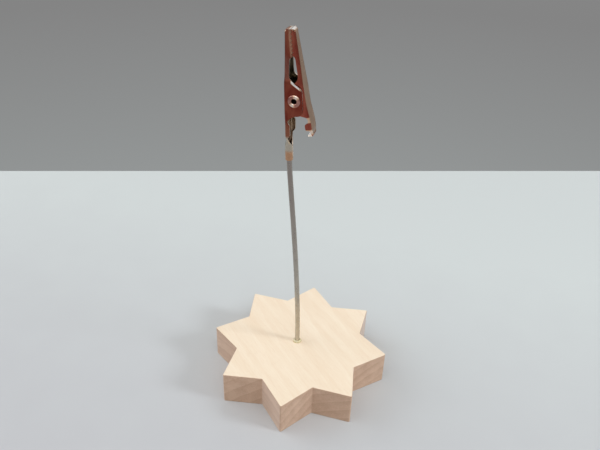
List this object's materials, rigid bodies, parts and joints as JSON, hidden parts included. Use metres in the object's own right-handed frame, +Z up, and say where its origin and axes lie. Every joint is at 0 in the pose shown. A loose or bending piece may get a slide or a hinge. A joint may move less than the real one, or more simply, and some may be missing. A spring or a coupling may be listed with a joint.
{
  "type": "card holder",
  "caption": "Table card holder: a wooden star base, a bowed wire stem and a small sprung clip with toothed jaws that grips a card or photo.",
  "frame": {"origin": "middle of the part's box at the table, under the star", "axes": "+Z up along the stem, +X the way the clip's moving jaw opens, +Y along the clip's pivot"},
  "size_m": [0.0592, 0.0592, 0.1201],
  "materials": {
    "pale_wood": "pale close-grained wood, sanded and unvarnished, with eased edges",
    "stem_wire": "drawn steel wire, satin",
    "glue": "clear adhesive over wood, glossy",
    "brown_plating": "copper-brown plated sheet steel, satin, with edges worn bright",
    "rivet_metal": "rolled tubular rivet, bright",
    "spring_steel": "drawn spring wire, dark satin"
  },
  "bodies": {
    "holder": {"star_base": "pale_wood", "stem": "stem_wire", "glue_bead": "glue", "fixed_jaw": "brown_plating", "pivot_rivet": "rivet_metal", "torsion_spring": "spring_steel"},
    "jaw": {"moving_jaw": "brown_plating"}
  },
  "joints": [
    {"name": "jaw_hinge", "type": "hinge", "parent": "holder", "child": "jaw", "pos_m": [-0.0032, 0, 0.1011], "axis": [0, 1, 0], "range_deg": [0, 24], "stiffness_Nm_per_rad": 0.0005, "springref_deg": -28.65, "deforming": ["torsion_spring"]}
  ]
}
